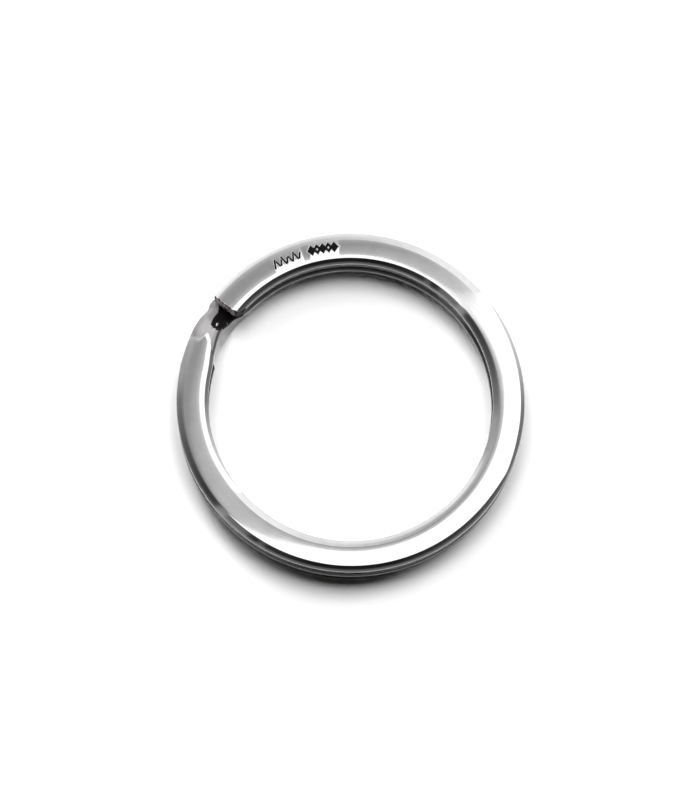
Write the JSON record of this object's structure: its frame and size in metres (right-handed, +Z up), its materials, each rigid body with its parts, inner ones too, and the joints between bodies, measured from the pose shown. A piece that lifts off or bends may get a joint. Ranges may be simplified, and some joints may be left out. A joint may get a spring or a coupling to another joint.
{
  "type": "split key ring",
  "caption": "Flat-wire split ring wound twice round, with a stepped crossover and two free ends that pry open to take keys.",
  "frame": {"origin": "centre of the ring on the plane that it rests on", "axes": "+Z up, along the ring's axis; +X to the right and +Y to the back, with the free upper end at the back left"},
  "size_m": [0.032, 0.032, 0.0037],
  "materials": {
    "polished_wire": "mirror polished, with fine wear scratches"
  },
  "bodies": {
    "lower_end": {"lower_free_end": "polished_wire"},
    "lower_arc_1": {"lower_coil_1": "polished_wire"},
    "lower_arc_2": {"lower_coil_2": "polished_wire"},
    "crossing": {"crossover": "polished_wire"},
    "upper_arc_4": {"upper_coil_4": "polished_wire"},
    "upper_arc_3": {"upper_coil_3": "polished_wire"},
    "upper_arc_2": {"upper_coil_2": "polished_wire"},
    "upper_arc_1": {"upper_coil_1": "polished_wire"},
    "upper_end": {"upper_free_end": "polished_wire"}
  },
  "joints": [
    {"name": "lower_end_opening", "type": "hinge", "parent": "lower_end", "child": "lower_arc_1", "pos_m": [0.00441, -0.01538, 0], "axis": [0.9613, 0.2756, 0], "range_deg": [0, 2.09], "stiffness_Nm_per_rad": 0.01},
    {"name": "lower_flex_2", "type": "hinge", "parent": "lower_arc_1", "child": "lower_arc_2", "pos_m": [0.01552, -0.00387, 0], "axis": [0.2419, 0.9703, 0], "range_deg": [0, 2.79], "stiffness_Nm_per_rad": 0.01},
    {"name": "lower_flex_3", "type": "hinge", "parent": "lower_arc_2", "child": "crossing", "pos_m": [0.01111, 0.01151, 0], "axis": [-0.7193, 0.6947, 0], "range_deg": [0, 2.09], "stiffness_Nm_per_rad": 0.01},
    {"name": "upper_end_opening", "type": "hinge", "parent": "crossing", "child": "upper_arc_4", "pos_m": [-0.00103, -0.01597, 0.00188], "axis": [0.9979, -0.0645, 0], "range_deg": [0, 1.33], "stiffness_Nm_per_rad": 0.01},
    {"name": "upper_flex_4", "type": "hinge", "parent": "upper_arc_4", "child": "upper_arc_3", "pos_m": [0.01056, -0.01202, 0.00188], "axis": [0.7513, 0.66, 0], "range_deg": [0, 1.75], "stiffness_Nm_per_rad": 0.01},
    {"name": "upper_flex_3", "type": "hinge", "parent": "upper_arc_3", "child": "upper_arc_2", "pos_m": [0.01597, -0.00103, 0.00188], "axis": [0.3206, 0.9472, 0], "range_deg": [0, 1.72], "stiffness_Nm_per_rad": 0.01},
    {"name": "upper_flex_2", "type": "hinge", "parent": "upper_arc_2", "child": "upper_arc_1", "pos_m": [0.01202, 0.01056, 0.00188], "axis": [-0.0663, 0.9978, 0], "range_deg": [0, 1.41], "stiffness_Nm_per_rad": 0.01},
    {"name": "upper_flex_1", "type": "hinge", "parent": "upper_arc_1", "child": "upper_end", "pos_m": [0.00103, 0.01597, 0.00188], "axis": [-0.4431, 0.8965, 0], "range_deg": [0, 0.89], "stiffness_Nm_per_rad": 0.01}
  ],
  "couplings": [
    {"joint": "lower_flex_2", "follows": "lower_end_opening", "ratio": 1.3333},
    {"joint": "lower_flex_3", "follows": "lower_end_opening", "ratio": 1},
    {"joint": "upper_flex_4", "follows": "upper_end_opening", "ratio": 1.3106},
    {"joint": "upper_flex_3", "follows": "upper_end_opening", "ratio": 1.2879},
    {"joint": "upper_flex_2", "follows": "upper_end_opening", "ratio": 1.0578},
    {"joint": "upper_flex_1", "follows": "upper_end_opening", "ratio": 0.6667}
  ]
}
